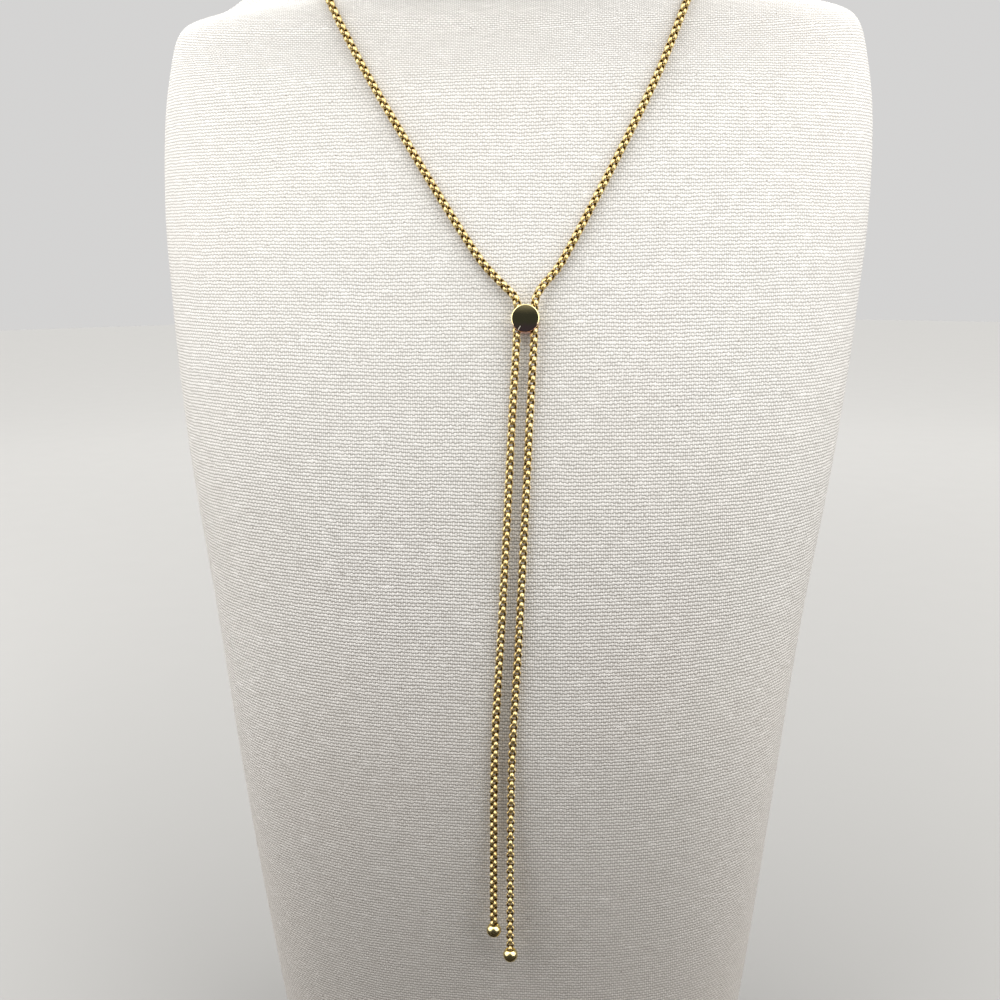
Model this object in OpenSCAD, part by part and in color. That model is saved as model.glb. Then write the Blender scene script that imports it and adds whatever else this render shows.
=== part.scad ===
// Slider Y necklace worn on a linen-covered neck bust.
// One rounded box chain runs from the left end ball up through the slider, round the neck,
// down through the slider again and on to the right end ball. The bust faces -Y and stands on
// z = 0, with the origin below the middle of the whole object.

/* [Bust] */
// Height of the bust from its base to the top of its neck
bust_h = 480; // [440:1:560]
// Height of the shoulder ledge above the base
shoulder_h = 369; // [345:1:385]
// Width of the bust across the shoulders
bust_w = 230; // [200:1:270]
// Size that the front and back bulges of the body follow
bust_d = 130; // [115:1:150]
// Width of the neck at its top
neck_w = 108; // [96:1:120]
// Depth of the neck from front to back
neck_d = 80; // [70:1:90]
// How far the neck's axis sits behind the axis of the body
neck_set = 13; // [8:0.5:18]
// Rounding where the cover turns in under the base
base_edge = 1.5; // [0.5:0.1:4]
// Rounding at the top of the neck
neck_edge = 4; // [1:0.5:8]

/* [Chain] */
// Width of the rounded box chain
chain_w = 2.4; // [1.6:0.1:2.6]
// Space between the chain and the linen
chain_gap = 0.3; // [0.2:0.05:0.6]
// Height at which the chain crosses the back of the neck
nape_h = 403; // [396:1:412]
// How far the two tails drift to the wearer's right on their way down
tail_drift = 6.2; // [0:0.1:10]

/* [Slider] */
// Diameter of the slider puck
slider_d = 8; // [8:0.1:14]
// Thickness of the slider puck
slider_t = 3.6; // [3.4:0.1:6]
// Rounding along both edges of the puck
slider_edge = 0.3; // [0.1:0.05:0.5]
// Distance between the two strands in the puck
strand_gap = 4.9; // [4.6:0.1:5.2]
// Space round a strand in its bore
bore_gap = 0.1; // [0.05:0.01:0.2]
// Height of the slider's centre above the base
slider_h = 276; // [268:1:284]
// How far the slider sits to the wearer's left of the middle
slider_x = 10.3; // [0:0.1:16]
// Space between the back of the puck and the linen
slider_gap = 0.3; // [0.2:0.05:0.6]

/* [End balls] */
// Diameter of the end balls
ball_d = 4.4; // [4:0.1:6]
// Depth of the socket that a chain end sits in, below the top of its ball
socket_depth = 1.2; // [0.9:0.1:1.6]
// Space round and below a chain end in its socket
socket_gap = 0.1; // [0.05:0.01:0.2]
// Drop from the slider to the ball on the left tail
left_drop = 179; // [150:1:200]
// Drop from the slider to the ball on the right tail
right_drop = 187; // [150:1:200]

/* [Hidden] */
$fn = 96;

// Sections of the body: height as a share of shoulder_h, half width as a share of half of
// bust_w, front and back as shares of bust_d, and the power that squares off the ellipse.
BODY = [
    // height, half width, front, back, power
    [0.000, 0.664, 0.427, 0.356, 2.50],
    [0.108, 0.708, 0.468, 0.377, 2.50],
    [0.244, 0.753, 0.522, 0.400, 2.50],
    [0.325, 0.779, 0.547, 0.412, 2.50],
    [0.406, 0.806, 0.555, 0.423, 2.50],
    [0.501, 0.846, 0.540, 0.438, 2.45],
    [0.610, 0.906, 0.498, 0.446, 2.40],
    [0.705, 0.950, 0.441, 0.454, 2.30],
    [0.759, 0.970, 0.400, 0.460, 2.25],
    [0.813, 0.990, 0.354, 0.460, 2.20],
    [0.867, 0.999, 0.304, 0.460, 2.15],
    [0.921, 0.997, 0.254, 0.454, 2.10],
    [0.957, 0.980, 0.223, 0.446, 2.10],
    [0.978, 0.965, 0.208, 0.438, 2.10],
    [0.989, 0.948, 0.200, 0.431, 2.10],
    [0.996, 0.917, 0.196, 0.427, 2.10]
];

// Sections of the neck: height as a share of the rise from the ledge to the top, flare as a
// share of the step from the neck's to the body's half width, front and back as shares of
// half of neck_d, and the power.
NECK = [
    // height, flare, front, back, power
    [0.000, 0.672, 0.962, 1.038, 2.10],
    [0.063, 0.492, 0.938, 1.012, 2.05],
    [0.180, 0.213, 0.938, 1.000, 2.00],
    [0.306, 0.066, 0.975, 1.012, 2.00],
    [0.486, 0.016, 1.012, 1.012, 2.00],
    [1.000, 0.000, 1.025, 1.012, 2.00]
];

// Heights of the loft's rings, as shares of the body's and of the neck's rise
BODY_RINGS = [0.108, 0.176, 0.244, 0.325, 0.406, 0.453, 0.501, 0.555, 0.61, 0.66, 0.705, 0.732,
    0.759, 0.786, 0.813, 0.84, 0.867, 0.894, 0.921, 0.94, 0.957, 0.97, 0.98, 0.989, 0.996];
NECK_RINGS = [0, 0.03, 0.063, 0.1, 0.14, 0.18, 0.21, 0.24, 0.27, 0.306, 0.35, 0.4, 0.486, 0.7];
ring_points = 48;
neck_parts = 26;
// What a straight stretch between two rings loses to the curve of the neck
neck_slack = 0.2;

// Chosen points of the chain. Across the chest: sideways place as a share of half of neck_w,
// and the rise as a share of the way from the slider to the nape.
LEFT_CHEST = [[-0.035, 0.12], [-0.25, 0.25], [-0.48, 0.4], [-0.704, 0.55], [-0.878, 0.68],
    [-0.925, 0.72]];
RIGHT_CHEST = [[0.365, 0.12], [0.528, 0.25], [0.707, 0.4], [0.872, 0.55], [0.989, 0.68],
    [1.025, 0.72]];
// Round the neck: degrees from the front, by way of the left side, and the same share of the rise
ROUND_NECK = [[40, 0.79], [60, 0.865], [85, 0.915], [112, 0.955], [144, 0.985], [180, 1],
    [216, 0.985], [248, 0.95], [275, 0.91], [299, 0.855], [318, 0.775]];
// Through the slider: shares of slider_d up from its middle
STRAND = [-0.7, 0, 0.62];
// Down a tail: drop as a share of that tail's drop, and the share of tail_drift
TAIL = [[0.14, 0.14], [0.3, 0.32], [0.48, 0.56], [0.66, 0.86], [0.86, 0.97]];

chain_sides = 8;
chain_r = chain_w / 2;
chain_off = chain_r + chain_gap;
bore_r = chain_r + bore_gap;
socket_r = chain_r + socket_gap;
ball_r = ball_d / 2;
// Steps over which the tilt of the linen is taken: degrees round the bust, and a rise
tilt_turn = 1;
tilt_rise = chain_r;

// A table's values at share u of its first column, on a smooth curve through its rows
function row_of(rows, u, i = 0) =
    i >= len(rows) - 2 || u < rows[i + 1][0] ? i : row_of(rows, u, i + 1);
function row_slope(rows, i) =
    let (a = max(i - 1, 0), b = min(i + 1, len(rows) - 1))
    (rows[b] - rows[a]) / (rows[b][0] - rows[a][0]);
function ease(p, q, m, n, t) =
    (2 * t^3 - 3 * t^2 + 1) * p + (t^3 - 2 * t^2 + t) * m
    + (3 * t^2 - 2 * t^3) * q + (t^3 - t^2) * n;
function at_share(rows, u) =
    let (i = row_of(rows, u), step = rows[i + 1][0] - rows[i][0])
    ease(rows[i], rows[i + 1], row_slope(rows, i) * step, row_slope(rows, i + 1) * step,
        (u - rows[i][0]) / step);

// Section of the bust at height z: half width, front, back and power
function body_section(z) =
    let (s = at_share(BODY, z / shoulder_h))
    [s[1] * bust_w / 2, -s[2] * bust_d, s[3] * bust_d, s[4]];
function neck_section(z) =
    let (s = at_share(NECK, (z - shoulder_h) / (bust_h - shoulder_h)))
    [neck_w / 2 + s[1] * (bust_w - neck_w) / 2, neck_set - s[2] * neck_d / 2,
        neck_set + s[3] * neck_d / 2, s[4]];
function section(z) = z < shoulder_h ? body_section(z) : neck_section(z);

// Point of a section at a turn in degrees from the front, pulled in by inset
function signed_power(v, p) = sign(v) * abs(v)^p;
function on_section(s, turn, z, inset = 0) = [
    (s[0] - inset) * signed_power(sin(turn), 2 / s[3]),
    (s[1] + s[2]) / 2 - ((s[2] - s[1]) / 2 - inset) * signed_power(cos(turn), 2 / s[3]),
    z
];
function unit(v) = v / norm(v);

// Point a distance off the linen, at a turn round the bust or at a sideways place on its front
function off_linen(turn, z, off) =
    let (
        s = section(z),
        sideways = on_section(s, turn + tilt_turn, z) - on_section(s, turn - tilt_turn, z),
        upwards = on_section(section(z + tilt_rise), turn, z + tilt_rise) - on_section(s, turn, z)
    )
    on_section(s, turn, z) + off * unit(cross(sideways, upwards));
function turn_at(x, z) =
    let (s = section(z))
    asin(min(abs(x) / s[0], 1)^(s[3] / 2)) * sign(x);
function off_chest(x, z, off) = off_linen(turn_at(x, z), z, off);

// The slider leans back with the chest under it
slider_turn = turn_at(slider_x, slider_h);
slider_lean = atan(
    (body_section(slider_h + slider_d / 2)[1] - body_section(slider_h - slider_d / 2)[1])
    / slider_d);
slider_at = off_linen(slider_turn, slider_h, slider_gap + slider_t / 2);
function in_slider(x, up) =
    slider_at + [x, up * sin(slider_lean), up * cos(slider_lean)];

// Below its fullest height the bust recedes, and the tails hang straight down
belly_h = BODY[4][0] * shoulder_h;
function tail_point(x, z) =
    let (p = off_chest(x, max(z, belly_h), chain_off))
    [x, p[1], z];

// The origin is below the middle of the whole object's depth
front_reach = ball_r - tail_point(slider_x, 0)[1];
back_reach = max([for (row = BODY) row[3]]) * bust_d;
module placed() {
    translate([0, (front_reach - back_reach) / 2, 0]) children();
}

// Route of the chain, from one ball to the other
nape_rise = nape_h - slider_h;
function chest_points(list) = [
    for (p = list) off_chest(p[0] * neck_w / 2, slider_h + p[1] * nape_rise, chain_off)
];
neck_from = ROUND_NECK[0][0];
neck_to = ROUND_NECK[len(ROUND_NECK) - 1][0];
round_neck = [
    for (i = [0:neck_parts])
        let (turn = neck_from + (neck_to - neck_from) * i / neck_parts)
        off_linen(-turn, slider_h + at_share(ROUND_NECK, turn)[1] * nape_rise, chain_off + neck_slack)
];
function tail_points(side, drop) = [
    for (p = TAIL)
        tail_point(slider_x + side * strand_gap / 2 - p[1] * tail_drift, slider_h - p[0] * drop)
];
function ball_at(side, drop) =
    tail_point(slider_x + side * strand_gap / 2 - tail_drift, slider_h - drop);
function tail_end(side, drop) =
    ball_at(side, drop) + [0, 0, ball_r - socket_depth + socket_gap];
function strand(side) = [for (up = STRAND) in_slider(side * strand_gap / 2, up * slider_d)];
function backwards(list) = [for (i = [len(list) - 1:-1:0]) list[i]];
left_ball_at = ball_at(-1, left_drop);
right_ball_at = ball_at(1, right_drop);
function run(side, drop, chest) = concat(
    [tail_end(side, drop), tail_end(side, drop) + [0, 0, chain_w]],
    backwards(tail_points(side, drop)), strand(side), chest_points(chest));
route = concat(
    run(-1, left_drop, LEFT_CHEST), round_neck, backwards(run(1, right_drop, RIGHT_CHEST)));

// A ring stands halfway between two points of the route that lie further apart than this
ring_every = 6 * chain_w;
function route_slope(i) =
    let (a = max(i - 1, 0), b = min(i + 1, len(route) - 1))
    (route[b] - route[a]) / (norm(route[min(i + 1, b)] - route[i]) + norm(route[i] - route[a]));
function between(i, t) =
    let (step = norm(route[i + 1] - route[i]))
    ease(route[i], route[i + 1], route_slope(i) * step, route_slope(i + 1) * step, t);
chain_path = [
    for (i = [0:len(route) - 2])
        let (parts = norm(route[i + 1] - route[i]) > ring_every ? 2 : 1)
        for (k = [0:parts - 1]) between(i, k / parts),
    route[len(route) - 1]
];

// Closed mesh from rings of equal length, given from one end to the other
module loft(rings) {
    n = len(rings[0]);
    last = len(rings) - 1;
    points = [for (ring = rings) each ring];
    sides = [
        for (i = [0:last - 1]) for (k = [0:n - 1])
            let (a = i * n + k, b = i * n + (k + 1) % n)
            each [[a, b, b + n], [a, b + n, a + n]]
    ];
    first_cap = [for (k = [n - 1:-1:0]) k];
    last_cap = [for (k = [0:n - 1]) last * n + k];
    polyhedron(points, concat([first_cap], sides, [last_cap]));
}

function path_ring(path, i) =
    let (
        last = len(path) - 1,
        along = unit(path[min(i + 1, last)] - path[max(i - 1, 0)]),
        outward = [path[i][0], path[i][1] - neck_set, 0],
        side = unit(cross(along, outward)),
        front = cross(side, along)
    )
    [for (k = [0:chain_sides - 1])
        let (a = 360 * (k + 0.5) / chain_sides)
        path[i] + chain_r * (cos(a) * side + sin(a) * front)];

function bust_ring(z, inset = 0) =
    let (s = section(z))
    [for (k = [0:ring_points - 1]) on_section(s, -360 * k / ring_points, z, inset)];

// The linen-covered stand: body, cut shoulders, ledge and neck in one closed form
module bust() {
    neck_rise = bust_h - shoulder_h;
    top_ring = bust_h - neck_edge;
    base_rings = [
        for (a = [0, 45, 90]) bust_ring(base_edge * (1 - cos(a)), base_edge * (1 - sin(a)))
    ];
    body_rings = [for (u = BODY_RINGS) bust_ring(u * shoulder_h)];
    neck_rings = [for (u = NECK_RINGS) bust_ring(shoulder_h + u * neck_rise)];
    top_rings = [
        for (a = [0, 30, 60, 90]) bust_ring(top_ring + neck_edge * sin(a), neck_edge * (1 - cos(a)))
    ];
    color("linen") placed() loft(concat(base_rings, body_rings, neck_rings, top_rings));
}

// The whole chain, as a tube along its route
module chain() {
    color("goldenrod") placed() loft([for (i = [0:len(chain_path) - 1]) path_ring(chain_path, i)]);
}

// Half profile of the puck, with both edges rounded
module slider_profile() {
    flat_r = slider_d / 2 - slider_edge;
    wall_h = slider_t / 2 - slider_edge;
    translate([0, -slider_t / 2]) square([flat_r, slider_t]);
    translate([0, -wall_h]) square([slider_d / 2, 2 * wall_h]);
    for (side = [-1, 1]) translate([flat_r, side * wall_h]) circle(slider_edge);
}

module slider() {
    color("gold") placed() translate(slider_at) rotate([-slider_lean, 0, 0]) difference() {
        rotate([90, 0, 0]) rotate_extrude() intersection() {
            slider_profile();
            translate([0, -slider_t]) square([slider_d, 2 * slider_t]);
        }
        for (side = [-1, 1])
            translate([side * strand_gap / 2, 0, -slider_d]) cylinder(r = bore_r, h = 2 * slider_d);
    }
}

module end_ball(at) {
    color("gold") placed() translate(at) difference() {
        sphere(d = ball_d);
        translate([0, 0, ball_r - socket_depth]) cylinder(r = socket_r, h = ball_d);
    }
}

module end_ball_left() {
    end_ball(left_ball_at);
}

module end_ball_right() {
    end_ball(right_ball_at);
}

bust();
chain();
slider();
end_ball_left();
end_ball_right();
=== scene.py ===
"""Slider Y necklace on a linen-covered neck bust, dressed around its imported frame.

Each operator makes one piece or group of like pieces. Lengths are in metres, in the frame's
own coordinates: the bust stands on z = 0 and faces -Y.
"""

import math
import random

import bmesh
import bpy
from bpy.props import FloatProperty, FloatVectorProperty, PointerProperty
from mathutils import Matrix, Vector
from mathutils.bvhtree import BVHTree


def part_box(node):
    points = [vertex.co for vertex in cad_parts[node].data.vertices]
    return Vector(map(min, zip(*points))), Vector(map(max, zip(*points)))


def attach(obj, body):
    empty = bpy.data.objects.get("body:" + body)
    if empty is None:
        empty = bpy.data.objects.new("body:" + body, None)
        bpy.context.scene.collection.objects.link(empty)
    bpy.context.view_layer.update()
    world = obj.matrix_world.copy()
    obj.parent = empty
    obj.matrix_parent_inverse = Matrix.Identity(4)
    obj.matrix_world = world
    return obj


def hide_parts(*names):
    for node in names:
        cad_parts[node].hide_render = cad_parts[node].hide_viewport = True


bl_info = {
    "name": "Linen bust with slider Y necklace",
    "version": (1, 0, 0),
    "blender": (4, 5, 0),
    "location": "3D View > Sidebar > Necklace",
    "description": "Builds the linen cover, the rounded box chain, the slider and the end balls",
    "category": "Object",
}

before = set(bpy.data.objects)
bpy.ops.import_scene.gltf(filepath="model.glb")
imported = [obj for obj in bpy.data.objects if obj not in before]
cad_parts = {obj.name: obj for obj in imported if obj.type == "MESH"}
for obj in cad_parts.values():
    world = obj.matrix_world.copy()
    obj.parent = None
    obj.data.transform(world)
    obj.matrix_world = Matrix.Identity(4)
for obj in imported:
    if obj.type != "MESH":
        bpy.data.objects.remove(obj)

MM = 0.001
BODY = "root"
WEAVE_UV = "weave"
HOLLOW = "hollow"
TONE = "tone"

# The ledge of the shoulders, as shares of the bust's height
LEDGE = (0.72, 0.815)
# Heights between which the cloth loosens low down, tightens on the chest and gets paler as the
# shade painted low down fades out
LOOSENS = (0.04, 0.21)
TIGHTENS = (0.17, 0.31)
LOW_SHADE_FADES = (0.02, 0.30)
# Depths below the top of the neck between which the weave fades out
TOP_FADE = (1.5 * MM, 0.2 * MM)

# Corners that a cut leaves closer together than this are merged
MERGE_REACH = 0.001 * MM
# Sides of the CAD chain's tube
TUBE_SIDES = 8
# Distance between the points of the path that the links follow
PATH_STEP = 0.4 * MM
# Seed of the links' tones
TONE_SEED = 11
# Turn of the links about the chain: millimetres from the left ball, and degrees.
LEFT_TURNS = [(0, 45), (32, 45), (58, 30), (110, 24), (176, 30), (215, 45)]
# The same from the right ball. A quarter turn swaps the two kinds of link.
RIGHT_TURNS = [(215, 45), (185, 60), (120, 65), (80, 69), (52, 78), (34, 88), (0, 90)]

# The scratch on the slider: its two ends from the slider's middle, and half its width
SCRATCH = (Vector((-2.0, 0, -2.9)) * MM, Vector((-1.2, 0, -1.5)) * MM)
SCRATCH_REACH = 0.12 * MM
# How shiny the slider and the balls are: lower is shinier
SLIDER_SMOOTH = 0.07
BALL_SMOOTH = 0.23

# The camera's place, and its pitch, yaw and roll in degrees
CAMERA_AT = (0.03828, -0.38589, 0.300)
CAMERA_TURN = (90 - 12.5, 6.0, -0.5)
# The right light's place and what it shines at. The left light mirrors it.
LIGHT_AT = (0.61, -0.222, 0.625)
LIGHT_AIM = (0, 0, 0.25)
LIGHT_SIZE = 1.2
LIGHT_POWER = 9.4
LIGHT_COLOUR = (1.0, 0.99, 0.975)
# The world's light from the front, from behind and from overhead, and the backdrop that shows
WORLD_FRONT = (0.040, 0.045, 0.052)
WORLD_BEHIND = (0.20, 0.20, 0.20)
WORLD_OVERHEAD = (2.25, 2.23, 2.18)
BACKDROP = (0.66, 0.655, 0.65)
# What the floor throws back up, which the camera doesn't see
UNSEEN_FLOOR = (0.016, 0.013, 0.010)


def size_prop(name, description, default):
    """A length that a user may change."""
    return FloatProperty(name=name, description=description, default=default, unit="LENGTH")


def colour_prop(name, description, default):
    """A linear colour that a user may change."""
    return FloatVectorProperty(
        name=name, description=description, default=default, subtype="COLOR", min=0, max=1
    )


class LinenSettings(bpy.types.PropertyGroup):
    """Sizes and colours of the cover."""

    warp: size_prop("Warp pitch", "Distance between upright threads", 0.66 * MM)
    weft: size_prop("Weft pitch", "Distance between level threads", 0.97 * MM)
    relief: size_prop("Thread relief", "Height of the threads over the gaps", 0.20 * MM)
    thread: colour_prop("Thread", "Colour of the threads", (0.93, 0.912, 0.88))
    # Painted shade: the colour in the gaps and low places of the weave, where shade falls between
    # the threads
    gap: colour_prop("Gap", "Colour between the threads", (0.265, 0.25, 0.225))
    fleck: colour_prop("Fleck", "Colour of the darker fibres", (0.16, 0.12, 0.085))
    # Painted highlight: the paler colour of the slubs where they catch the light
    slub: colour_prop("Slub", "Colour of the thick places in threads", (0.95, 0.93, 0.90))
    patch: colour_prop("Patch", "Colour of the faint darker patches", (0.66, 0.58, 0.50))
    # Painted shade: the darker, warmer colour that the cloth tends to low on the bust, where less
    # light falls
    painted_low_shade: colour_prop("Worn", "Colour that the cloth tends to low down", (0.45, 0.38, 0.32))


class ChainSettings(bpy.types.PropertyGroup):
    """Sizes and colours of the chain."""

    pitch: size_prop("Link pitch", "Distance from one link to the next", 1.33 * MM)
    width: size_prop("Link width", "Outside width of a link", 2.4 * MM)
    height: size_prop("Link height", "Outside height of a link, along the chain", 2.2 * MM)
    band: size_prop("Band width", "Width of the band at a link's walls", 1.5 * MM)
    bar: size_prop("Bar width", "Width of the band at a link's ends", 0.72 * MM)
    wall: size_prop("Wall thickness", "Thickness of the band at a link's walls", 0.56 * MM)
    end: size_prop("End thickness", "Thickness of the band at a link's ends", 0.3 * MM)
    rest: size_prop("Resting distance", "From the linen to the middle of the chain", 1.3 * MM)
    gold: colour_prop("Gold", "Colour of the outside of the links", (0.88, 0.70, 0.34))
    dull: colour_prop("Dull gold", "Colour of the duller links", (0.80, 0.60, 0.26))
    # Painted shade: the colour that the hollows of the links are darkened to
    shade: colour_prop("Shade", "Colour in the hollows of the links", (0.09, 0.045, 0.008))


class PolishSettings(bpy.types.PropertyGroup):
    """Sizes and colours of the slider and the end balls."""

    rim: size_prop("Rim", "Rounding along both edges of the slider", 0.35 * MM)
    mouth: size_prop("Mouth", "Rounding where the chain goes in", 0.1 * MM)
    room: size_prop("Room", "Space round the chain in a bore", 0.1 * MM)
    gold: colour_prop("Gold", "Colour of the polished metal", (0.88, 0.74, 0.37))
    # Painted reflection: the warm colour that the lower part of the slider turns to
    painted_low_reflection: colour_prop("Warm gold", "Colour low on the slider", (0.90, 0.55, 0.50))
    bare: colour_prop("Scratch", "Colour of the scratch on the slider", (1.0, 0.95, 0.80))


class StageSettings(bpy.types.PropertyGroup):
    """Floor, light and camera."""

    floor: colour_prop("Floor", "Colour of the floor", (0.70, 0.693, 0.68))
    radius: size_prop("Floor radius", "Radius of the floor", 4.0)
    lens: FloatProperty(name="Lens", description="Focal length", default=43.2, unit="CAMERA")


class Wire:
    """An output of a shader node, which may stand in sums."""

    def __init__(self, graph, socket):
        self.graph = graph
        self.socket = socket

    def maths(self, operation, *values):
        made = self.graph.node(
            "ShaderNodeMath", {"operation": operation}, dict(enumerate(values))
        )
        return made["Value"]

    def __add__(self, other):
        return self.maths("ADD", self, other)

    def __radd__(self, other):
        return self.maths("ADD", other, self)

    def __sub__(self, other):
        return self.maths("SUBTRACT", self, other)

    def __rsub__(self, other):
        return self.maths("SUBTRACT", other, self)

    def __mul__(self, other):
        return self.maths("MULTIPLY", self, other)

    def __rmul__(self, other):
        return self.maths("MULTIPLY", other, self)

    def __truediv__(self, other):
        return self.maths("DIVIDE", self, other)

    def __gt__(self, other):
        return self.maths("GREATER_THAN", self, other)

    def sin(self):
        return self.maths("SINE", self)

    def abs(self):
        return self.maths("ABSOLUTE", self)

    def sign(self):
        return self.maths("SIGN", self)

    def floor(self):
        return self.maths("FLOOR", self)

    def max(self, other):
        return self.maths("MAXIMUM", self, other)

    def power(self, other):
        return self.maths("POWER", self, other)

    def ramp(self, low, high):
        """0 below low, 1 above high and smooth between."""
        made = self.graph.node(
            "ShaderNodeMapRange",
            {"interpolation_type": "SMOOTHSTEP"},
            {"Value": self, "From Min": low, "From Max": high},
        )
        return made["Result"]


class Node:
    """A shader node, whose outputs are read by name or number."""

    def __init__(self, graph, node):
        self.graph = graph
        self.node = node

    def __getitem__(self, key):
        return Wire(self.graph, self.node.outputs[key])


class Graph:
    """The node tree of a material or a world."""

    def __init__(self, owner):
        owner.use_nodes = True
        self.tree = owner.node_tree
        self.tree.nodes.clear()

    def node(self, kind, settings=None, sockets=None):
        """Adds a node: its settings first, then values or links for its sockets."""
        made = self.tree.nodes.new(kind)
        for key, value in (settings or {}).items():
            setattr(made, key, value)
        for key, value in (sockets or {}).items():
            if isinstance(value, Wire):
                self.tree.links.new(value.socket, made.inputs[key])
            else:
                made.inputs[key].default_value = value
        return Node(self, made)

    def mix(self, factor, a, b):
        """Mixes two colours."""
        a, b = (c if isinstance(c, Wire) else (*c[:3], 1) for c in (a, b))
        return self.node("ShaderNodeMix", {"data_type": "RGBA"}, {0: factor, 6: a, 7: b})[2]

    def vector(self, x, y):
        """A level vector from two numbers."""
        return self.node("ShaderNodeCombineXYZ", None, {"X": x, "Y": y})["Vector"]

    def object_place(self):
        """Where a point is, in the frame."""
        return self.node("ShaderNodeTexCoord")["Object"]

    def noise(self, place, scale, detail=2.0, rough=0.5):
        """Noise about 0.5, with scale in waves per metre."""
        sockets = {"Vector": place, "Scale": scale, "Detail": detail, "Roughness": rough}
        return self.node("ShaderNodeTexNoise", None, sockets)["Fac"]

    def bump(self, height, distance, strength=1.0):
        """A normal tilted by a height of 0 to 1 that stands for a distance."""
        sockets = {"Height": height, "Distance": distance, "Strength": strength}
        return self.node("ShaderNodeBump", None, sockets)["Normal"]

    def surface(self, **values):
        """The surface shader and the output."""
        sockets = {key.replace("_", " "): value for key, value in values.items()}
        shader = self.node("ShaderNodeBsdfPrincipled", None, sockets)
        self.node("ShaderNodeOutputMaterial", None, {"Surface": shader["BSDF"]})


def linen_material(look):
    """Plain-woven cream linen with thick and thin threads, slubs and flecks."""
    material = bpy.data.materials.new("cream_linen")
    g = Graph(material)
    place = g.object_place()
    uv = g.node("ShaderNodeSeparateXYZ", None, {
        0: g.node("ShaderNodeUVMap", {"uv_map": WEAVE_UV})["UV"]
    })
    # The threads wander to either side, widely and from crossing to crossing
    sway = (g.noise(place, 55.0) - 0.5) * 1.6 + (g.noise(place, 600.0) - 0.5) * 0.8
    sag = (g.noise(place, 38.0) - 0.5) * 1.3 + (g.noise(place, 600.0) - 0.5) * 0.8
    warp = uv["X"] / look.warp + sway
    weft = uv["Y"] / look.weft + sag
    across = (warp * math.pi).sin()
    # A level thread bulges where it lies on top, and pushes its neighbours aside
    weft = weft - 0.09 * across * (weft * math.pi + math.pi / 2).sin()
    warp_no = warp.floor()
    weft_no = weft.floor()
    # Each thread is thick and thin along its length
    warp_full = g.noise(g.vector(warp_no * 7.31, uv["Y"] * 220.0), 1.0, 3.0)
    weft_full = g.noise(g.vector(uv["X"] * 220.0, weft_no * 5.17), 1.0, 3.0)
    # Over and under at each crossing. The level threads are fuller and cover the upright ones.
    along = (weft * math.pi).sin()
    warp_swing = across.sign() * along
    weft_swing = along.sign() * across
    warp_rise = across.abs().power(0.7) * (0.31 + 0.30 * warp_swing) * (0.6 + 0.8 * warp_full)
    weft_rise = along.abs().power(0.65) * (0.74 - 0.11 * weft_swing) * (0.6 + 0.8 * weft_full)
    height = warp_rise.max(weft_rise) * (0.65 + 0.35 * across.abs())
    # The cloth is pulled flatter low on the bust and high on its chest, and has painted shade low
    # down
    rise = g.node("ShaderNodeSeparateXYZ", None, {0: place})["Z"]
    flat = (1.0 - rise.ramp(*LOOSENS)) * 0.30 + rise.ramp(*TIGHTENS) * 0.35
    # It is drawn tight over the top of the neck, where the weave of the side ends
    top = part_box("bust")[1].z
    flat = flat.max(rise.ramp(*(top - depth for depth in TOP_FADE)))
    painted_low_shade = 1.0 - rise.ramp(*LOW_SHADE_FADES)
    # Low places of the threads and the gaps between them get painted shade in the gap colour
    covered = height.ramp(0.12, 0.75)
    covered = covered + (0.62 - covered) * flat
    colour = g.mix(covered, look.gap, look.thread)
    # Slubs are painted paler, a painted highlight where they catch the light; the cloth is a
    # little darker in patches, and some fibres are dark
    slub = warp_full.max(weft_full).ramp(0.60, 0.78)
    colour = g.mix(slub * 0.45, colour, look.slub)
    patch = g.noise(place, 14.0, 4.0).ramp(0.35, 0.75)
    colour = g.mix(patch * 0.10, colour, look.patch)
    # Painted shade: the cloth darkens and warms towards the bottom of the bust
    colour = g.mix(painted_low_shade * 0.38, colour, look.painted_low_shade)
    # About one cell in 670 holds a dark fibre
    cell_x, cell_y = uv["X"] / (0.9 * MM), uv["Y"] / (0.45 * MM)
    speck = g.node("ShaderNodeTexWhiteNoise", {"noise_dimensions": "2D"}, {
        "Vector": g.vector(cell_x.floor(), cell_y.floor())
    })["Value"]
    fibre = ((cell_x * math.pi).sin() * (cell_y * math.pi).sin()).abs().ramp(0.2, 0.9)
    colour = g.mix((speck > 0.9985) * fibre * 0.7, colour, look.fleck)
    fuzz = g.noise(place, 2600.0, 2.0, 0.6)
    g.surface(
        Base_Color=colour,
        Roughness=0.86 + 0.10 * fuzz,
        Normal=g.bump(height * (1.0 - flat) + 0.22 * fuzz, look.relief),
        Specular_IOR_Level=0.25,
        Sheen_Weight=0.12,
        Sheen_Roughness=0.5,
    )
    return material


def chain_material(look):
    """Gold-coloured links, bright outside and darkened by painted shade in their hollows."""
    material = bpy.data.materials.new("chain_gold")
    g = Graph(material)
    place = g.object_place()
    hollow = g.node("ShaderNodeAttribute", {"attribute_name": HOLLOW})["Fac"]
    tone = g.node("ShaderNodeAttribute", {"attribute_name": TONE})["Fac"]
    mottle = g.noise(place, 900.0, 3.0)
    # Painted shade in the links' hollows, which are also made rougher
    painted_hollow_shade = (hollow + (mottle - 0.5) * 0.35).ramp(0.20, 0.88)
    gold = g.mix(tone, look.gold, look.dull)
    colour = g.mix(painted_hollow_shade, gold, look.shade)
    scuff = g.noise(place, 4200.0, 2.0)
    g.surface(
        Base_Color=colour,
        Metallic=1.0,
        Roughness=0.36 + 0.08 * mottle + 0.08 * painted_hollow_shade,
        Normal=g.bump(scuff, 0.02 * MM, 0.5),
    )
    return material


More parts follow.
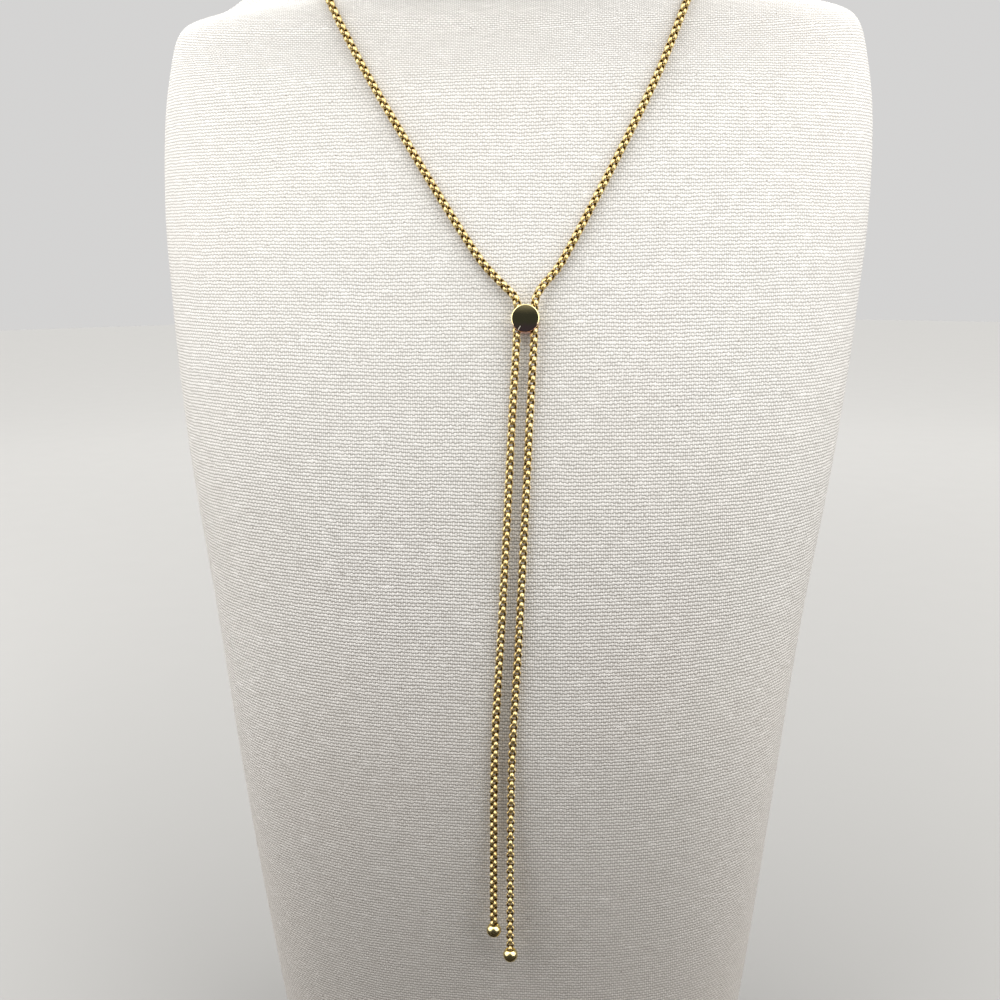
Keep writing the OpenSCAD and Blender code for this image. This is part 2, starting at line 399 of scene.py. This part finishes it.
def polish_material(name, look, smooth, painted_low_reflection=None, scratch=None):
    """Polished gold with hairlines and a soft orange peel. A lower smooth is shinier."""
    material = bpy.data.materials.new(name)
    g = Graph(material)
    place = g.object_place()
    peel = g.noise(place, 420.0, 2.0)
    hairs = [
        g.noise(
            g.node("ShaderNodeMapping", None, {
                "Vector": place, "Rotation": (0.0, turn, 0.0), "Scale": (1.0, 1.0, 0.04)
            })["Vector"], 9000.0, 1.0
        )
        for turn in (0.5, 1.9)
    ]
    hair = hairs[0].max(hairs[1]).ramp(0.60, 0.78)
    cloud = g.noise(place, 700.0, 4.0)
    colour = g.mix(cloud, look.gold, [0.86 * c for c in look.gold])
    roughness = smooth * (0.75 + 0.5 * cloud) + 0.06 * hair
    # Painted reflection: below the given heights the colour turns to the warm gold
    if painted_low_reflection:
        low, high = painted_low_reflection
        height = g.node("ShaderNodeSeparateXYZ", None, {0: place})["Z"]
        share = 1.0 - (height + (cloud - 0.5) * 2.0 * MM).ramp(low, high)
        colour = g.mix(share, colour, look.painted_low_reflection)
    if scratch:
        mark = scratch_mask(g, place, *scratch)
        colour = g.mix(mark, colour, look.bare)
        roughness = roughness + 0.5 * mark
    g.surface(
        Base_Color=colour,
        Metallic=1.0,
        Roughness=roughness,
        Normal=g.bump(peel + 0.15 * hair, 0.012 * MM, 0.6),
    )
    return material


def scratch_mask(g, place, start, end, reach):
    """1 on a short straight scratch between two points of the front, fading over reach."""
    middle = (start + end) / 2
    half = (end - start) / 2
    way = half.normalized()
    xyz = g.node("ShaderNodeSeparateXYZ", None, {0: place})
    x, z = xyz["X"] - middle.x, xyz["Z"] - middle.z
    along = (x * way.x + z * way.z).abs()
    aside = (x * way.z - z * way.x).abs()
    beside = 1.0 - aside.ramp(0.3 * reach, reach)
    return beside * (1.0 - along.ramp(0.6 * half.length, half.length))


def floor_material(colour):
    """Plain pale floor with a faint grain, which throws little light back up."""
    material = bpy.data.materials.new("pale_floor")
    g = Graph(material)
    place = g.object_place()
    grain = g.noise(place, 30.0, 4.0)
    # Paler away from the lights, so that it looks even
    away = g.node("ShaderNodeVectorMath", {"operation": "LENGTH"}, {0: place})["Value"]
    pale = g.mix(away.ramp(0.0, 1.6), [0.48 * c for c in colour], colour)
    pale = g.mix(grain * 0.06, pale, (0.3, 0.3, 0.3))
    seen = g.node("ShaderNodeLightPath")["Is Camera Ray"]
    g.surface(
        Base_Color=g.mix(seen, UNSEEN_FLOOR, pale),
        Roughness=0.75 + 0.1 * grain,
        Normal=g.bump(grain, 0.2 * MM, 0.3),
        Specular_IOR_Level=0.1,
    )
    return material


def new_piece(name, bm, material, slot=None):
    """Turns a bmesh into a smooth-shaded piece of the object or the stage."""
    mesh = bpy.data.meshes.new(name)
    bm.to_mesh(mesh)
    bm.free()
    mesh.shade_smooth()
    mesh.materials.append(material)
    piece = bpy.data.objects.new(name, mesh)
    bpy.context.scene.collection.objects.link(piece)
    if slot:
        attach(piece, BODY)
    return piece


def merged_copy(node):
    """A bmesh copy of a CAD node with its loose triangles joined."""
    bm = bmesh.new()
    bm.from_mesh(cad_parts[node].data)
    bmesh.ops.remove_doubles(bm, verts=bm.verts, dist=0.002 * MM)
    return bm


def loft_rings(bm, first):
    """A lofted form's rings of vertices, in order from its first ring."""
    bm.verts.index_update()
    seen = set(first)
    rings = [list(first)]
    while rings[-1]:
        beyond = {e.other_vert(v) for v in rings[-1] for e in v.link_edges} - seen
        seen |= beyond
        # In the mesh's own order, so that sums over a ring are the same each run
        rings.append(sorted(beyond, key=lambda v: v.index))
    return rings[:-1]


def middle(points):
    """The mean of some points."""
    return sum(points, Vector()) / len(points)


def node_middle(node):
    """The middle of a CAD node's box."""
    low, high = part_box(node)
    return (low + high) / 2


def in_turn(ring):
    """A ring's vertices by their turn from the back, by way of the front."""
    centre = middle([v.co for v in ring])
    return sorted(ring, key=lambda v: math.atan2(v.co.x - centre.x, centre.y - v.co.y))


def girth_places(ring):
    """How far each vertex of a ring is from its front, to the right as the camera sees it."""
    steps = [(b.co - a.co).length for a, b in zip(ring, ring[1:])]
    front = min(range(len(ring)), key=lambda i: (abs(ring[i].co.x), ring[i].co.y))
    return [
        sum(steps[front:i]) if i >= front else -sum(steps[i:front]) for i in range(len(ring))
    ]


def weave_places(rings):
    """For each vertex, its place along its ring and up the cloth: below, on and over the ledge."""
    low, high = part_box("bust")
    ledge = [low.z + share * (high.z - low.z) for share in LEDGE]
    sideways, rises, rise = {}, {}, 0.0
    climbed = [0.0] * len(rings[0])
    for below, ring in zip([rings[0]] + rings, rings):
        steps = [v.co - w.co for v, w in zip(ring, below)]
        climbs = [max(step.z, 0.7 * step.length) for step in steps]
        level = ring[0].co.z
        rise += min(climbs)
        if ledge[0] < level:
            climbed = [c + climb for c, climb in zip(climbed, climbs)]
        else:
            climbed = [rise] * len(ring)
        for v, side, up in zip(ring, girth_places(ring), climbed):
            sideways[v] = side
            rises[v] = (up, rise)
    return sideways, rises, ledge[1]


def linen_bmesh():
    """The cover: the CAD form in quads, with the cloth's own coordinates."""
    bm = merged_copy("bust")
    lowest = min(v.co.z for v in bm.verts)
    rings = loft_rings(bm, [v for v in bm.verts if v.co.z - lowest < 0.01 * MM])
    rings = [in_turn(ring) for ring in rings]
    sideways, rises, neck_from = weave_places(rings)
    ring_of = {v: i for i, ring in enumerate(rings) for v in ring}
    caps = [f for f in bm.faces if len({ring_of[v] for v in f.verts}) == 1]
    bmesh.ops.dissolve_faces(bm, faces=caps)
    bmesh.ops.join_triangles(
        bm, faces=[f for f in bm.faces if len(f.verts) == 3],
        angle_face_threshold=math.pi, angle_shape_threshold=math.pi,
    )
    layer = bm.loops.layers.uv.new(WEAVE_UV)
    for face in bm.faces:
        middle_at = face.calc_center_median()
        for loop in face.loops:
            v = loop.vert
            if len(face.verts) > 4:
                loop[layer].uv = v.co.xy
                continue
            side = sideways[v]
            if side * middle_at.x < 0 and abs(side) > 50 * MM:
                side = -side
            loop[layer].uv = side, rises[v][middle_at.z > neck_from]
    bmesh.ops.recalc_face_normals(bm, faces=bm.faces)
    return bm


def apply_modifiers(piece):
    """Fixes a piece's modifiers in its mesh."""
    graph = bpy.context.evaluated_depsgraph_get()
    mesh = bpy.data.meshes.new_from_object(piece.evaluated_get(graph))
    piece.modifiers.clear()
    old = piece.data
    piece.data = mesh
    bpy.data.meshes.remove(old)


class LinenOperator(bpy.types.Operator):
    """Cover the bust with linen"""

    bl_idname = "necklace.linen"
    bl_label = "Linen cover"

    def execute(self, context):
        look = context.scene.linen_settings
        cover = new_piece("linen_cover", linen_bmesh(), linen_material(look), "linen")
        levels = cover.modifiers.new("Smooth form", "SUBSURF")
        levels.levels = levels.render_levels = 2
        apply_modifiers(cover)
        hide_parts("bust")
        return {"FINISHED"}


def chain_points():
    """The middle of each ring of the CAD chain, from the left ball to the right one."""
    bm = merged_copy("chain")
    start = node_middle("end_ball_left")
    first = sorted(bm.verts, key=lambda v: (v.co - start).length)[:TUBE_SIDES]
    points = [middle([v.co for v in ring]) for ring in loft_rings(bm, first)]
    bm.free()
    return points


def ease(p, q, m, n, t):
    """A point on a smooth curve from p to q that leaves along m and arrives along n."""
    return (
        (2 * t**3 - 3 * t**2 + 1) * p + (t**3 - 2 * t**2 + t) * m
        + (3 * t**2 - 2 * t**3) * q + (t**3 - t**2) * n
    )


def slope_at(points, i):
    """The way of a smooth curve at a point, which leans towards its shorter side's."""
    near = points[max(i - 1, 0):i + 2]
    sides = [b - a for a, b in zip(near, near[1:])]
    if len(sides) == 1:
        return sides[0].normalized()
    a, b = sides
    return (a.normalized() * b.length + b.normalized() * a.length) / (a.length + b.length)


def fine_path(points, step):
    """Points on the smooth curve through points, about a step apart."""
    slopes = [slope_at(points, i) for i in range(len(points))]
    path = []
    for i in range(len(points) - 1):
        gap = (points[i + 1] - points[i]).length
        parts = max(1, round(gap / step))
        for k in range(parts):
            args = points[i], points[i + 1], slopes[i] * gap, slopes[i + 1] * gap, k / parts
            path.append(ease(*args))
    return path + [points[-1]]


def eased(path, reach):
    """The path with its sharp turns spread over reach points to either side."""
    last = len(path) - 1
    spans = [min(i, last - i, reach) for i in range(last + 1)]
    return [middle(path[i - k:i + k + 1]) for i, k in enumerate(spans)]


def smooth_step(x):
    """0 below 0, 1 above 1 and smooth between."""
    x = min(max(x, 0.0), 1.0)
    return x * x * (3 - 2 * x)


def settle(path, linen, rest):
    """Lowers the stretches that lie on the linen until they touch it."""
    near, far = rest + 0.35 * MM, rest + 0.85 * MM
    moved = []
    for point in path:
        spot, normal, _, away = linen.find_nearest(point)
        share = 1 - smooth_step((away - near) / (far - near))
        moved.append(point + normal * (rest - away) * share)
    return moved


def turn_table(length):
    """Turn of the links in degrees, by distance along the chain in metres."""
    left = [(d * MM, turn) for d, turn in LEFT_TURNS]
    right = [(length - d * MM, turn) for d, turn in RIGHT_TURNS]
    return left + right


def look_up(rows, x):
    """Value at x in a table of pairs."""
    for (a, p), (b, q) in zip(rows, rows[1:]):
        if x <= b:
            return p + (q - p) * smooth_step((x - a) / (b - a))
    return rows[-1][1]


def link_mesh(look):
    """One link: a domed band bent into a rounded box, in its local X-Z plane."""
    sides, steps, squareness = 6, 12, 2.25
    bm = bmesh.new()
    hollow = bm.verts.layers.float.new(HOLLOW)
    bm.verts.layers.float.new(TONE)
    # Flat sides look in and out, and corners to either side
    bmesh.ops.create_circle(bm, segments=sides, radius=0.5)
    depth = max(v.co.x for v in bm.verts)
    # The hollow attribute is 0 outside the band and 1 inside it, where the material paints shade
    for v in bm.verts:
        v[hollow] = 0.5 - v.co.x
    middle_radius = (look.width - look.wall) / 2
    bmesh.ops.scale(bm, verts=bm.verts, vec=(look.wall / (2 * depth), look.band, 1))
    bmesh.ops.translate(bm, verts=bm.verts, vec=(middle_radius, 0, 0))
    bmesh.ops.spin(
        bm, geom=bm.verts[:] + bm.edges[:], cent=(0, 0, 0), axis=(0, 1, 0), dvec=(0, 0, 0),
        angle=2 * math.pi, steps=steps, use_merge=True,
    )
    middle_rise = (look.height - look.end) / 2
    for v in bm.verts:
        radius = math.hypot(v.co.x, v.co.z)
        x, z = v.co.x / radius, v.co.z / radius
        square = (abs(x) ** squareness + abs(z) ** squareness) ** (-1 / squareness)
        # The band is full at the walls and drawn in at the ends
        out = (radius - middle_radius) * (1 + (look.end / look.wall - 1) * z * z)
        v.co.x = x * (middle_radius * square + out)
        v.co.z = z * (middle_rise * square + out)
        v.co.y *= 1 + (look.bar / look.band - 1) * z * z
    bmesh.ops.recalc_face_normals(bm, faces=bm.faces)
    mesh = bpy.data.meshes.new("link")
    bm.to_mesh(mesh)
    bm.free()
    return mesh


def link_places(look, linen):
    """Where each link is: its matrix, from the left ball to the right one."""
    path = settle(eased(fine_path(chain_points(), PATH_STEP), 4), linen, look.rest)
    path = eased(path, 2)
    along = [0.0]
    for a, b in zip(path, path[1:]):
        along.append(along[-1] + (b - a).length)
    length = along[-1]
    count = round((length - look.height) / look.pitch) + 1
    pitch = (length - look.height) / (count - 1)
    turns = turn_table(length)
    places = []
    i = 0
    for no in range(count):
        reach = look.height / 2 + no * pitch
        while along[i + 1] < reach:
            i += 1
        share = (reach - along[i]) / (along[i + 1] - along[i])
        point = path[i].lerp(path[i + 1], share)
        forward = (path[min(i + 3, len(path) - 1)] - path[max(i - 2, 0)]).normalized()
        outward = linen.find_nearest(point)[1]
        sideways = forward.cross(outward).normalized()
        outward = sideways.cross(forward)
        axes = Matrix((sideways, -outward, forward)).transposed().to_4x4()
        quarter = 90 * (no % 2)
        turn = Matrix.Rotation(math.radians(look_up(turns, reach) + quarter), 4, "Z")
        places.append(Matrix.Translation(point) @ axes @ turn)
    return places


class ChainOperator(bpy.types.Operator):
    """Make the rounded box chain, link by link"""

    bl_idname = "necklace.chain"
    bl_label = "Chain links"

    def execute(self, context):
        look = context.scene.chain_settings
        cover = bpy.data.objects.get("linen_cover")
        if not cover:
            raise RuntimeError("make the linen cover first: the chain lies on it")
        linen = BVHTree.FromPolygons(
            [v.co for v in cover.data.vertices], [p.vertices for p in cover.data.polygons]
        )
        rng = random.Random(TONE_SEED)
        link = link_mesh(look)
        bm = bmesh.new()
        bm.verts.layers.float.new(HOLLOW)
        bm.verts.layers.float.new(TONE)
        for place in link_places(look, linen):
            copy = link.copy()
            copy.transform(place)
            tones = copy.attributes[TONE].data
            tones.foreach_set("value", [rng.random()] * len(tones))
            bm.from_mesh(copy)
            bpy.data.meshes.remove(copy)
        bpy.data.meshes.remove(link)
        chain = new_piece("chain_links", bm, chain_material(look), "chain_gold")
        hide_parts("chain")
        return {"FINISHED"}


def bored(name, bm, bores, material, mouth):
    """A piece with round bores cut through it, rounded where they come out."""
    piece = new_piece(name, bm, material, "polished_gold")
    cutters = []
    for place, radius, depth in bores:
        cut = bmesh.new()
        bmesh.ops.create_cone(
            cut, cap_ends=True, segments=40, radius1=radius, radius2=radius, depth=depth,
            matrix=place,
        )
        cutter = new_piece(f"{name}_cut", cut, material)
        modifier = piece.modifiers.new("Bore", "BOOLEAN")
        modifier.object = cutter
        modifier.solver = "EXACT"
        cutters.append(cutter)
    edge = piece.modifiers.new("Mouth", "BEVEL")
    edge.width = mouth
    edge.segments = 3
    edge.limit_method = "ANGLE"
    edge.angle_limit = math.radians(50)
    apply_modifiers(piece)
    for cutter in cutters:
        bpy.data.objects.remove(cutter)
    # The cuts leave corners less than a micrometre apart, which are merged
    cut = bmesh.new()
    cut.from_mesh(piece.data)
    bmesh.ops.remove_doubles(cut, verts=cut.verts, dist=MERGE_REACH)
    cut.to_mesh(piece.data)
    cut.free()
    return piece


class SliderOperator(bpy.types.Operator):
    """Make the slider puck with its two bores"""

    bl_idname = "necklace.slider"
    bl_label = "Slider"

    def execute(self, context):
        look = context.scene.polish_settings
        width = context.scene.chain_settings.width
        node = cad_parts["slider"].data
        centre = node_middle("slider")
        low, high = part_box("slider")
        face = max(node.polygons, key=lambda p: p.area).normal
        face = face if face.y < 0 else -face
        depths = [(v.co - centre).dot(face) for v in node.vertices]
        thick = max(depths) - min(depths)
        across = Vector((1, 0, 0))
        up = face.cross(across).normalized()
        up = up if up.z > 0 else -up
        axes = Matrix((across, across.cross(face), face)).transposed().to_4x4()
        bm = bmesh.new()
        bmesh.ops.create_cone(
            bm, cap_ends=True, segments=128, radius1=(high.x - low.x) / 2,
            radius2=(high.x - low.x) / 2, depth=thick,
        )
        rims = [e for e in bm.edges if any(len(f.verts) > 4 for f in e.link_faces)]
        bmesh.ops.bevel(
            bm, geom=rims, offset=look.rim, segments=5, profile=0.5, affect="EDGES", material=-1
        )
        bmesh.ops.transform(bm, matrix=Matrix.Translation(centre) @ axes, verts=bm.verts)
        strands = sorted(chain_points(), key=lambda p: (p - centre).length)[:2]
        lean = Vector((0, 0, 1)).rotation_difference(up).to_matrix().to_4x4()
        radius = width / 2 + look.room
        bores = [(Matrix.Translation(p) @ lean, radius, 2 * (high.x - low.x)) for p in strands]
        start, end = (centre + spot for spot in SCRATCH)
        # The lower part of the slider gets a painted reflection in warm gold
        material = polish_material(
            "slider_polish", look, SLIDER_SMOOTH, painted_low_reflection=(centre.z - 3.0 * MM, centre.z),
            scratch=(start, end, SCRATCH_REACH),
        )
        puck = bored("slider_puck", bm, bores, material, look.mouth)
        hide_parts("slider")
        return {"FINISHED"}


class BallsOperator(bpy.types.Operator):
    """Make the end balls with their sockets"""

    bl_idname = "necklace.end_balls"
    bl_label = "End balls"

    def execute(self, context):
        look = context.scene.polish_settings
        width = context.scene.chain_settings.width
        material = polish_material("ball_polish", look, BALL_SMOOTH)
        path = chain_points()
        for side, end in (("left", path[0]), ("right", path[-1])):
            low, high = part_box(f"end_ball_{side}")
            ball_radius = (high.x - low.x) / 2
            centre = Vector((*(low + high).xy / 2, low.z + ball_radius))
            bm = bmesh.new()
            bmesh.ops.create_uvsphere(
                bm, u_segments=56, v_segments=36, radius=ball_radius,
                matrix=Matrix.Translation(centre),
            )
            radius = width / 2 + look.room
            depth = 2 * (high.z - end.z + look.room)
            socket = Matrix.Translation((end.x, end.y, end.z - look.room + depth / 2))
            ball = bored(f"{side}_end_ball", bm, [(socket, radius, depth)], material, look.mouth)
            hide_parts(f"end_ball_{side}")
        return {"FINISHED"}


def area_light(name, place):
    """A soft light at a place that shines at the bust."""
    data = bpy.data.lights.new(name, "AREA")
    data.shape = "DISK"
    data.size = LIGHT_SIZE
    data.energy = LIGHT_POWER
    data.color = LIGHT_COLOUR
    light = bpy.data.objects.new(name, data)
    light.location = place
    way = Vector(LIGHT_AIM) - Vector(place)
    light.rotation_euler = way.to_track_quat("-Z", "Y").to_euler()
    light.visible_camera = False
    bpy.context.scene.collection.objects.link(light)


def studio_world():
    """Soft light from all round: bright overhead, dim in front of the bust."""
    world = bpy.data.worlds.new("studio")
    bpy.context.scene.world = world
    g = Graph(world)
    way = g.node("ShaderNodeSeparateXYZ", None, {0: g.node("ShaderNodeTexCoord")["Generated"]})
    overhead = way["Z"].ramp(0.50, 1.0)
    behind = way["Y"].ramp(-0.1, 0.8)
    dim = g.mix(behind, WORLD_FRONT, WORLD_BEHIND)
    light = g.mix(overhead, dim, WORLD_OVERHEAD)
    seen = g.node("ShaderNodeLightPath")["Is Camera Ray"]
    colour = g.mix(seen, light, BACKDROP)
    background = g.node("ShaderNodeBackground", None, {"Color": colour, "Strength": 1.0})
    g.node("ShaderNodeOutputWorld", None, {"Surface": background["Background"]})


class StageOperator(bpy.types.Operator):
    """Set the floor, the light and the camera"""

    bl_idname = "necklace.stage"
    bl_label = "Stage"

    def execute(self, context):
        look = context.scene.stage_settings
        bm = bmesh.new()
        bmesh.ops.create_circle(bm, cap_ends=True, segments=96, radius=look.radius)
        new_piece("floor", bm, floor_material(look.floor))
        studio_world()
        for side, name in ((-1, "left light"), (1, "right light")):
            area_light(name, (side * LIGHT_AT[0], *LIGHT_AT[1:]))
        context.scene.view_settings.view_transform = "Standard"
        data = bpy.data.cameras.new("camera")
        data.lens = look.lens
        camera = bpy.data.objects.new("camera", data)
        context.scene.collection.objects.link(camera)
        pitch, yaw, roll = (math.radians(a) for a in CAMERA_TURN)
        turn = Matrix.Rotation(yaw, 4, "Z") @ Matrix.Rotation(pitch, 4, "X")
        turn = turn @ Matrix.Rotation(roll, 4, "Z")
        camera.matrix_world = Matrix.Translation(CAMERA_AT) @ turn
        context.scene.camera = camera
        return {"FINISHED"}


OPERATORS = (LinenOperator, ChainOperator, SliderOperator, BallsOperator, StageOperator)
SETTINGS = {
    "linen_settings": LinenSettings,
    "chain_settings": ChainSettings,
    "polish_settings": PolishSettings,
    "stage_settings": StageSettings,
}


class NecklacePanel(bpy.types.Panel):
    """Lists the pieces of the necklace and its bust"""

    bl_idname = "VIEW3D_PT_necklace"
    bl_label = "Y necklace"
    bl_space_type = "VIEW_3D"
    bl_region_type = "UI"
    bl_category = "Necklace"

    def draw(self, context):
        for operator in OPERATORS:
            self.layout.operator(operator.bl_idname)
        for name, group in SETTINGS.items():
            box = self.layout.box()
            for prop in group.__annotations__:
                box.prop(getattr(context.scene, name), prop)


def register():
    """Registers the settings, the operators and the panel."""
    for name, group in SETTINGS.items():
        bpy.utils.register_class(group)
        setattr(bpy.types.Scene, name, PointerProperty(type=group))
    for operator in OPERATORS:
        bpy.utils.register_class(operator)
    bpy.utils.register_class(NecklacePanel)


def unregister():
    """Undoes register."""
    bpy.utils.unregister_class(NecklacePanel)
    for operator in reversed(OPERATORS):
        bpy.utils.unregister_class(operator)
    for name, group in SETTINGS.items():
        delattr(bpy.types.Scene, name)
        bpy.utils.unregister_class(group)


def main():
    """Makes every piece."""
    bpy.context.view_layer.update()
    register()
    bpy.ops.necklace.linen()
    bpy.ops.necklace.chain()
    bpy.ops.necklace.slider()
    bpy.ops.necklace.end_balls()
    bpy.ops.necklace.stage()


if __name__ == "__main__":
    main()
